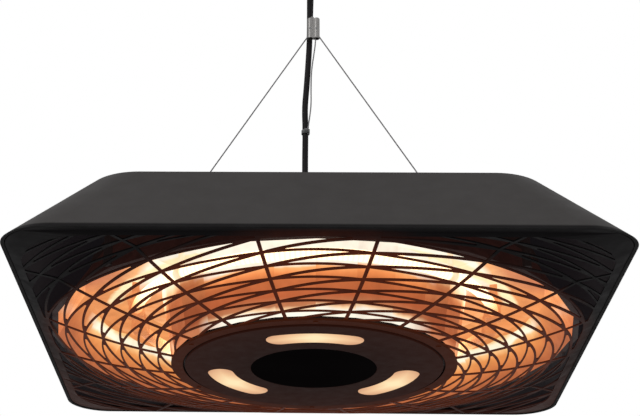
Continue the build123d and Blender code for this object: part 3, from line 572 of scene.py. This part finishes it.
# Dark tone, light tone, roughness and options of the plain finishes
coats = {
    "cover_black": ((0.0062, 0.0050, 0.0052), (0.0084, 0.0070, 0.0072), 0.4, {"gloss": 0.0}),
    "ceramic_white": ((0.62, 0.59, 0.53), (0.74, 0.71, 0.66), 0.7, {"grain": 400.0}),
    "cord_rubber": ((0.014, 0.0125, 0.0135), (0.020, 0.018, 0.0195), 0.55, {"gloss": 0.12}),
    "rope_coated": ((0.013, 0.012, 0.0125), (0.019, 0.018, 0.0185), 0.45, {"gloss": 0.15}),
    "gland_plastic": ((0.022, 0.022, 0.023), (0.03, 0.03, 0.031), 0.5, {}),
    "tie_plastic": ((0.05, 0.05, 0.05), (0.30, 0.30, 0.30), 0.4, {"drift_scale": 120.0}),
    "canopy_coat": ((0.055, 0.0505, 0.049), (0.061, 0.056, 0.0545), 0.52, {}),
    "board_green": ((0.78, 0.79, 0.77), (0.84, 0.85, 0.83), 0.35, {}),
    "chip_yellow": ((0.80, 0.62, 0.20), (0.88, 0.70, 0.26), 0.3, {}),
    "driver_case": ((0.05, 0.05, 0.053), (0.07, 0.07, 0.073), 0.5, {}),
    "terminal_plastic": ((0.70, 0.67, 0.60), (0.78, 0.75, 0.68), 0.45, {}),
}
metals = {
    "plated_steel": ((0.42, 0.42, 0.42), (0.60, 0.60, 0.61), 0.38, {}),
    "screw_steel": ((0.34, 0.34, 0.35), (0.52, 0.52, 0.53), 0.33, {}),
    "rope_wire": ((0.19, 0.185, 0.19), (0.28, 0.275, 0.28), 0.45, {}),
    "gripper_metal": ((0.36, 0.35, 0.34), (0.42, 0.41, 0.40), 0.52, {"scale": 90.0, "depth": 0.000004}),
}

# Low and high painted glow, for the lamps' light, and own colour of the parts that the lamps light, as
# lit copies of their finishes. The dark own colours of the reflector's back and the posts are painted
# shade.
lit_parts = {
    "reflector_back": ((0.010, 0.0036, 0.0028), (0.016, 0.0052, 0.0040), (0.016, 0.014, 0.014)),
    "ceramic_lit": ((0.50, 0.15, 0.05), (0.74, 0.27, 0.09), (0.25, 0.13, 0.07)),
    "strap_lit": ((0.98, 0.66, 0.36), (1.0, 0.84, 0.60), (0.25, 0.13, 0.07)),
    # Painted shade, near black, with a faint painted glow
    "post_shade_glow": ((0.0056, 0.0032, 0.0030), (0.0070, 0.0040, 0.0036), (0.008, 0.007, 0.007)),
}

finishes = {
    "shade_coat": shade_paint(),
    "grille_coat": grille_coat(),
    # The hub plates' painted warm glow; the ring is painted black inside its hole, as shade
    "hub_ring_coat": hub_coat(
        "hub_ring_coat", (0.012, 0.0055, 0.0042), (0.034, 0.0068, 0.0022), ring_hole),
    "hub_coat": hub_coat("hub_coat", (0.010, 0.006, 0.005), (0.019, 0.0042, 0.0022)),
    "diffuser_milk": diffuser_milk(),
    "reflector_metal": reflector_bright(),
    "lamp_glass": lamp_on(),
    "filament_wire": filament_hot(),
    "lead_sleeve": lead_sleeve(),
}
for name, (dark, light, roughness, options) in coats.items():
    finishes[name] = coated(name, dark, light, roughness, **options)
for name, (dark, light, roughness, options) in metals.items():
    finishes[name] = worked_metal(name, dark, light, roughness, **options)
for name, tones in lit_parts.items():
    finishes[name] = lit_part(name, *tones)

# Nodes that look unlike the rest of their slot: painted glow where the lamps light them, painted shade
# where they leave them dark
own_finish = {
    "hub_ring": "hub_ring_coat",
    "hub_screws": "hub_ring_coat",
    # Painted shade, with a faint painted glow, on the hub housing, the posts and the heat shield
    "hub_housing": "post_shade_glow",
    "posts": "post_shade_glow",
    "heat_shield": "post_shade_glow",
    "lamp_caps_near": "ceramic_lit",
    "lamp_caps_far": "ceramic_lit",
    "cap_carrier_left": "ceramic_lit",
    "cap_carrier_right": "ceramic_lit",
    "lamp_clips": "strap_lit",
}


def dress_nodes():
    """Gives each CAD node its own finish, or the one of its slot in the record."""
    for part in frame["record"]["subparts"]:
        node = part["node"]
        materials = nodes[node].data.materials
        materials.clear()
        materials.append(finishes[own_finish.get(node, part["material_slot"])])


dress_nodes()


# Shaping helpers

def select_none():
    if bpy.context.mode != "OBJECT":
        bpy.ops.object.mode_set(mode="OBJECT")
    bpy.ops.object.select_all(action="DESELECT")


def select_only(piece):
    select_none()
    piece.select_set(True)
    bpy.context.view_layer.objects.active = piece


def put_in_scene(name, data):
    """A new object for this curve, camera or light."""
    piece = bpy.data.objects.new(name, data)
    bpy.context.scene.collection.objects.link(piece)
    return piece


def to_mesh(piece):
    select_only(piece)
    bpy.ops.object.convert(target="MESH")
    return bpy.context.active_object


def new_curve(name, dimensions):
    curve = bpy.data.curves.new(name, "CURVE")
    curve.dimensions = dimensions
    return curve


def add_spline(curve, kind, points):
    """A line of this kind through 3-D points, or on the way that they steer."""
    spline = curve.splines.new(kind)
    spline.points.add(len(points) - 1)
    for target, point in zip(spline.points, points):
        target.co = (*point, 1.0)
    return spline


def turned_sheet(name, profile, sides):
    """An open sheet turned round the axis: a circle, extruded from each profile point to the next."""
    select_none()
    radius, level = profile[0]
    bpy.ops.mesh.primitive_circle_add(vertices=sides, radius=radius, location=(0, 0, level))
    piece = bpy.context.active_object
    piece.name = name
    bpy.ops.object.transform_apply(location=True, rotation=True, scale=True)
    bpy.ops.object.mode_set(mode="EDIT")
    bpy.ops.mesh.select_all(action="SELECT")
    for (r, z), (next_r, next_z) in zip(profile, profile[1:]):
        bpy.ops.mesh.extrude_region_move(TRANSFORM_OT_translate={"value": (0, 0, next_z - z)})
        bpy.ops.transform.resize(value=(next_r / r, next_r / r, 1), center_override=(0, 0, next_z))
    bpy.ops.mesh.select_all(action="SELECT")
    bpy.ops.mesh.normals_make_consistent(inside=False)
    bpy.ops.object.mode_set(mode="OBJECT")
    return piece


def thicken(piece, thickness):
    """Adds the sheet's thickness on the side that its faces point to."""
    wall = piece.modifiers.new("wall", "SOLIDIFY")
    wall.thickness = thickness
    wall.offset = 1.0
    wall.use_even_offset = True
    select_only(piece)
    bpy.ops.object.modifier_apply(modifier=wall.name)


def finish_as(piece, finish, body, replaced):
    """The piece's finish, body and slot, and the CAD node that it stands for."""
    piece.data.materials.clear()
    piece.data.materials.append(finishes[finish])
    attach(piece, body)
    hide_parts(replaced)


def on_circle(radius, degrees):
    turn = math.radians(degrees)
    return radius * math.cos(turn), radius * math.sin(turn)


# Reflector: folded facets round the hub

def reflector():
    """The trough, bright where its faces look at the trough's middle. Faces turned away, and the flange
    beyond the mouth, take the dark back finish as painted shade.
    """
    profile = [(radius, rim_level + level) for radius, level in reflector_profile]
    piece = turned_sheet("reflector_trough", profile, reflector_sides)
    thicken(piece, reflector_sheet)
    finish_as(piece, "reflector_metal", "heater", "reflector")
    piece.data.materials.append(finishes["reflector_back"])
    for face in piece.data.polygons:
        out = math.hypot(face.center.x, face.center.y)
        along = (face.center.x * face.normal.x + face.center.y * face.normal.y) / out
        # Faces turned away and the flange get the dark back finish: painted shade
        facing = along * (trough_middle - out) + face.normal.z * (trough_level - face.center.z)
        if facing < 0 or out > mouth_radius:
            face.material_index = 1


reflector()


# Grille: pressed from one sheet, pierced between spokes, rings and slanted bars

def spoke_edge(radius):
    return math.degrees(math.asin(spoke_width / 2 / radius))


def slot_outline(start, ring, upper):
    """One opening of a cell, above or below the bar that climbs one ring across the cell."""
    low = first_ring + ring_pitch * ring
    high = low + ring_pitch
    if upper:
        left, right = start + spoke_edge(low), start + sector - blunt_angle
    else:
        left, right = start + blunt_angle, start + sector - spoke_edge(high)
    angles = [left + (right - left) * i / slot_steps for i in range(slot_steps + 1)]
    slope = [low + ring_pitch * (a - start) / sector for a in angles]
    if upper:
        near = [r + diagonal_bar / 2 for r in slope]
        far = [high - ring_bar / 2] * len(angles)
    else:
        near = [low + ring_bar / 2] * len(angles)
        far = [r - diagonal_bar / 2 for r in slope]
    return angles, near, far


def side_steps(start, end, angle):
    """Points between two radii on one side of an opening."""
    radii = [start + (end - start) * i / 4 for i in range(1, 4)]
    return [on_circle(r, angle) for r in radii]


def ring_of_points(angles, near, far):
    """The opening's outline: on along the inner edge, back along the outer one."""
    points = [on_circle(r, a) for r, a in zip(near, angles)]
    points += side_steps(near[-1], far[-1], angles[-1])
    points += [on_circle(r, a) for r, a in zip(reversed(far), reversed(angles))]
    points += side_steps(far[0], near[0], angles[0])
    return points


def rounded_square(side, corner, per_corner, per_side):
    """Points round a square with rounded corners."""
    half = side / 2 - corner
    run = 2 * half
    points = []
    for quarter, (cx, cy) in enumerate([(half, half), (-half, half), (-half, -half), (half, -half)]):
        for i in range(per_corner + 1):
            x, y = on_circle(corner, 90 * quarter + 90 * i / per_corner)
            points.append((cx + x, cy + y))
        step_x, step_y = on_circle(1.0, 90 * quarter + 180)
        x, y = points[-1]
        for i in range(1, per_side):
            points.append((x + step_x * run * i / per_side, y + step_y * run * i / per_side))
    return points


def clipped(points, half, corner):
    """The part of an outline that lies inside a rounded square, cut side by side."""
    fence = rounded_square(2 * half, corner, per_corner=8, per_side=1)
    for start, end in zip(fence, fence[1:] + fence[:1]):
        edge_x, edge_y = end[0] - start[0], end[1] - start[1]

        def inward(p):
            return edge_x * (p[1] - start[1]) - edge_y * (p[0] - start[0])

        kept = []
        for before, here in zip(points[-1:] + points[:-1], points):
            a, b = inward(before), inward(here)
            if (a < 0) != (b < 0):
                share = a / (a - b)
                kept.append(tuple(p + (q - p) * share for p, q in zip(before, here)))
            if b >= 0:
                kept.append(here)
        points = kept
        if not points:
            break
    return points


def area(points):
    """Area inside an outline."""
    pairs = zip(points, points[1:] + points[:1])
    return abs(sum(a[0] * b[1] - a[1] * b[0] for a, b in pairs)) / 2


def grille_openings():
    """The outlines of all openings, cut off at the flat field's edge. Slivers are left out."""
    rings = int((field_half * math.sqrt(2) - first_ring) / ring_pitch) + 1
    openings = []
    for ring in range(rings):
        for index in range(spoke_count):
            for upper in (True, False):
                points = ring_of_points(*slot_outline(-90 - sector / 2 + sector * index, ring, upper))
                points = clipped(points, field_half, field_corner)
                if points and area(points) > smallest_slot:
                    openings.append(points)
    return openings


def beyond(x, y, half, corner):
    """How far a point lies outside a rounded square. It's negative inside."""
    out_x, out_y = abs(x) - half + corner, abs(y) - half + corner
    return math.hypot(max(out_x, 0), max(out_y, 0)) + min(max(out_x, out_y), 0) - corner


def share_between(x, y, inner, outer):
    """A point's place between two rounded squares, from 0 at the inner one to 1 at the outer one."""
    low, high = 0.0, 1.0
    for step in range(halvings):
        middle = (low + high) / 2
        half, corner = [a + (b - a) * middle for a, b in zip(inner, outer)]
        if beyond(x, y, half, corner) > 0:
            low = middle
        else:
            high = middle
    return low


def press_level(x, y):
    """Underside of the sheet: round hub, dome that squares up, flat field, sloped border."""
    if beyond(x, y, field_half, field_corner) > 0:
        lip = (grille_side / 2 - grille_lip, grille_corner)
        share = share_between(x, y, (field_half, field_corner), lip)
        return grille_under - grille_drop + grille_drop * share
    share = share_between(x, y, (flange_radius, flange_radius), (field_half, dome_corner))
    rise = dome_depth - grille_drop
    return grille_under - dome_depth + rise * share - 4 * dome_bulge * share * (1 - share)


def round_hole(x, y, radius, count):
    ring = [on_circle(radius, 360 * i / count) for i in range(count)]
    return [(x + dx, y + dy) for dx, dy in ring]


def flat_sheet(name, outlines):
    """A flat face bounded by the first outline and pierced by the others."""
    curve = new_curve(name, "2D")
    curve.fill_mode = "BOTH"
    for points in outlines:
        spline = add_spline(curve, "POLY", [(x, y, 0) for x, y in points])
        spline.use_cyclic_u = True
    return to_mesh(put_in_scene(name, curve))


def grille():
    """The sheet is pierced flat, then pressed, then given its thickness."""
    outlines = [rounded_square(grille_side, grille_corner, per_corner=10, per_side=12)]
    outlines.append(round_hole(0, 0, hole_radius, 120))
    for i in range(hub_screw_count):
        x, y = on_circle(hub_screw_circle, 30 + 60 * i)
        outlines.append(round_hole(x, y, hub_screw_hole, 10))
    piece = flat_sheet("grille_press", outlines + grille_openings())
    for corner in piece.data.vertices:
        corner.co.z = rim_level + press_level(corner.co.x, corner.co.y)
    bpy.ops.object.mode_set(mode="EDIT")
    bpy.ops.mesh.select_all(action="SELECT")
    bpy.ops.mesh.extrude_region_move(TRANSFORM_OT_translate={"value": (0, 0, grille_sheet)})
    bpy.ops.mesh.select_all(action="SELECT")
    bpy.ops.mesh.normals_make_consistent(inside=False)
    bpy.ops.object.mode_set(mode="OBJECT")
    bpy.ops.object.shade_smooth_by_angle(angle=math.radians(30))
    finish_as(piece, "grille_coat", "heater", "grille")


grille()


# Cords and ropes

def route(name, points, radius=0.0):
    """A round cord on a smooth line that the points steer."""
    curve = new_curve(name, "3D")
    curve.bevel_depth = radius
    curve.bevel_resolution = 5
    curve.resolution_u = 12
    curve.use_fill_caps = True
    spline = add_spline(curve, "NURBS", points)
    spline.order_u = 3
    spline.use_endpoint_u = True
    return put_in_scene(name, curve)


def line_of(points):
    """Points read from the smooth line that a route's points steer."""
    guide = route("guide", points)
    mesh = bpy.data.meshes.new_from_object(guide)
    line = [vertex.co.copy() for vertex in mesh.vertices]
    bpy.data.objects.remove(guide)
    bpy.data.meshes.remove(mesh)
    return line


def evenly(line, step):
    """Points a step apart along a line."""
    spots = [line[0]]
    left = step
    for a, b in zip(line, line[1:]):
        run = (b - a).length
        done = 0.0
        while run - done >= left:
            done += left
            spots.append(a.lerp(b, done / run))
            left = step
        left -= run - done
    spots.append(line[-1])
    return spots


def strand_line(spots, out, number):
    """One strand's way round the spots, this far out. Out is 0 for the core."""
    places = []
    for i, spot in enumerate(spots):
        ahead = spots[min(i + 1, len(spots) - 1)] - spots[max(i - 1, 0)]
        side = ahead.cross(Vector((0, 1, 0))).normalized()
        other = ahead.cross(side).normalized()
        turn = 2 * math.pi * (number / strand_count + i / steps_per_lay)
        places.append(spot + out * (math.cos(turn) * side + math.sin(turn) * other))
    return places


def stranded(name, points):
    """Wire rope: strands wound round a core, one turn per lay. Also gives the rope's line."""
    line = line_of(points)
    spots = evenly(line, rope_lay / steps_per_lay)
    strand = rope_radius * strand_share
    curve = new_curve(name, "3D")
    curve.bevel_depth = strand
    curve.bevel_resolution = 1
    curve.use_fill_caps = True
    for number in range(strand_count):
        add_spline(curve, "POLY", strand_line(spots, rope_radius - strand, number))
    add_spline(curve, "POLY", strand_line(spots, 0.0, strand_count))
    piece = to_mesh(put_in_scene(name, curve))
    bpy.ops.object.shade_smooth()
    return piece, line


def power_cord():
    """The mains cord, from the gland up to the canopy's cord anchor."""
    bends = [
        (0, 0, cord_bottom), (0.0003, 0, -0.344), (-0.0003, 0, -0.285),
        (0.0003, 0, -0.241), (-0.0007, 0, -0.213), (0.0014, 0, -0.187),
        (0.0034, 0, -0.155), (0.0051, 0, -0.122), (0.0052, 0, -0.074),
        (0.0052, 0.0015, -0.052), (0.0053, 0.0055, -0.036), (0.0054, 0.0065, -0.023),
    ]
    points = [(cord_x + dx, cord_y + dy, z) for dx, dy, z in bends]
    piece = route("mains_cord", points, cord_radius)
    finish_as(piece, "cord_rubber", "pendant", "power_cord")


def taut_ropes():
    """The two bare ropes of the V, from their sleeves up into the gripper."""
    for side, node in ((-1, "rope_left"), (1, "rope_right")):
        low = Vector((side * eye_x, 0, eye_top))
        high = Vector((side * grip_x, 0, grip_level))
        start = low + (high - low).normalized() * rope_start
        piece, line = stranded("wire_" + node, [start, start.lerp(high, 0.5), high])
        finish_as(piece, "rope_wire", "pendant", node)


def spare_end():
    """The rope's spare end, down from the gripper to the tie."""
    points = [
        (spare_x, 0, gripper_bottom + 0.004),
        (spare_x, 0, gripper_bottom - 0.006),
        (0.0004, 0.0006, -0.146),
        (-0.0024, 0.0016, -0.167),
        (-0.0029, 0.0022, -0.190),
        (-0.0026, 0.0028, -0.211),
        (-0.0046, 0.0034, -0.228),
        (tie_x, tie_y, tie_level + 0.005),
        (tie_x, tie_y, tie_level - 0.004),
    ]
    piece, line = stranded("wire_spare_end", points)
    finish_as(piece, "rope_wire", "pendant", "rope_spare_end")


def coated_rope():
    """The black-sleeved main rope, from the gripper up to the ferrule."""
    low = Vector((main_rope_x, 0, gripper_bottom + main_rope_start))
    high = Vector((0, 0, ferrule_level))
    points = [low, low.lerp(high, 0.5), high]
    piece = route("sleeved_rope", points, main_rope_radius)
    finish_as(piece, "rope_coated", "pendant", "main_rope")


power_cord()
taut_ropes()
spare_end()
coated_rope()


# Studio and camera

def camera():
    data = bpy.data.cameras.new("camera")
    data.lens = camera_lens
    data.shift_x = camera_shift_x
    data.clip_end = 50
    piece = put_in_scene("camera", data)
    piece.location = camera_place
    piece.rotation_euler = [math.radians(a) for a in camera_turn_deg]
    bpy.context.scene.camera = piece


def soft_lamp(name, place, size, watts):
    """A round soft light, aimed at the heater."""
    data = bpy.data.lights.new(name, "AREA")
    data.shape = "DISK"
    data.size = size
    data.energy = watts
    piece = put_in_scene(name, data)
    piece.location = place
    aim = Vector(light_target) - Vector(place)
    piece.rotation_euler = aim.to_track_quat("-Z", "Y").to_euler()


def backdrop():
    """White to the camera and through glass. Mirrors see a grey room, and the rest a darker one."""
    world = bpy.data.worlds.new("studio")
    bpy.context.scene.world = world
    world.use_nodes = True
    tree = world.node_tree
    ray = add(tree, "ShaderNodeLightPath").outputs
    seen = math_node(tree, "MAXIMUM", ray["Is Camera Ray"], ray["Is Transmission Ray"])
    level = spread(tree, ray["Is Glossy Ray"], 0.0, 1.0, room_light, mirror_light)
    background = tree.nodes["Background"]
    feed(tree, background.inputs["Color"], (1, 1, 1))
    feed(tree, background.inputs["Strength"], math_node(tree, "MAXIMUM", level, seen))


def floor():
    """A pale floor that is white to the camera."""
    select_none()
    bpy.ops.mesh.primitive_plane_add(size=floor_side, location=(0, 0, floor_level))
    piece = bpy.context.active_object
    piece.name = "floor"
    material, tree, shader = new_material("floor_paint")
    ray = add(tree, "ShaderNodeLightPath").outputs
    paint(tree, shader,
          colour=(0.8, 0.8, 0.79), roughness=0.8, glow=(1, 1, 1), power=ray["Is Camera Ray"])
    piece.data.materials.append(material)


floor()
backdrop()
soft_lamp("key", place=(-1.6, -2.2, 0.6), size=1.6, watts=key_watts)
soft_lamp("fill", place=(2.2, -1.6, 0.1), size=1.8, watts=fill_watts)
camera()
bpy.context.scene.view_settings.view_transform = "Standard"
